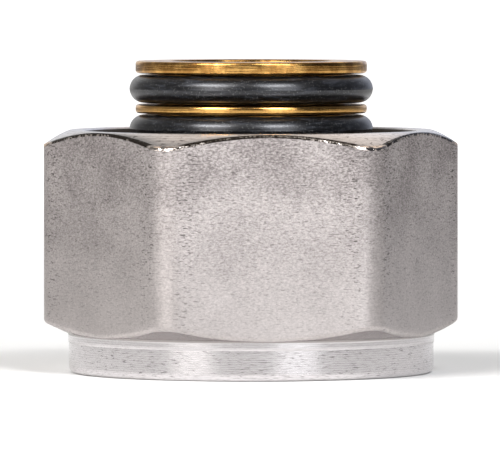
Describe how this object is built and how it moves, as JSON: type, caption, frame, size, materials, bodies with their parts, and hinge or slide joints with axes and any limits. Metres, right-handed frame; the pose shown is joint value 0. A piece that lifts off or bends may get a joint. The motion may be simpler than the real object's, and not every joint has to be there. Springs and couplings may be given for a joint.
{
  "type": "eurocone adapter",
  "caption": "Pipe compression adapter: a hexagonal union nut on a round collar turns on a brass insert whose nose carries rubber seals, with a split ring inside that clamps the pipe.",
  "frame": {"origin": "middle of the lower face of the nut's collar, on the axis", "axes": "+Z along the axis, out of the nose; +X through a corner of the hexagon at rest, so the flats face +Y and -Y"},
  "size_m": [0.0338, 0.03, 0.0253],
  "materials": {
    "nickel_plate": "forged brass, blasted and nickel plated, satin",
    "brass": "turned, bare",
    "white_plastic": "turned, matte",
    "black_rubber": "moulded, satin"
  },
  "bodies": {
    "insert_group": {"insert": "brass", "clamp_ring": "brass", "insulating_ring": "white_plastic", "tail_o_ring_lower": "black_rubber", "tail_o_ring_upper": "black_rubber", "nose_o_ring_lower": "black_rubber", "nose_o_ring_upper": "black_rubber"},
    "nut": {"union_nut": "nickel_plate"}
  },
  "joints": [
    {"name": "nut_swivel", "type": "hinge", "parent": "insert_group", "child": "nut", "pos_m": [0, 0, 0.01], "axis": [0, 0, 1], "continuous": true}
  ]
}
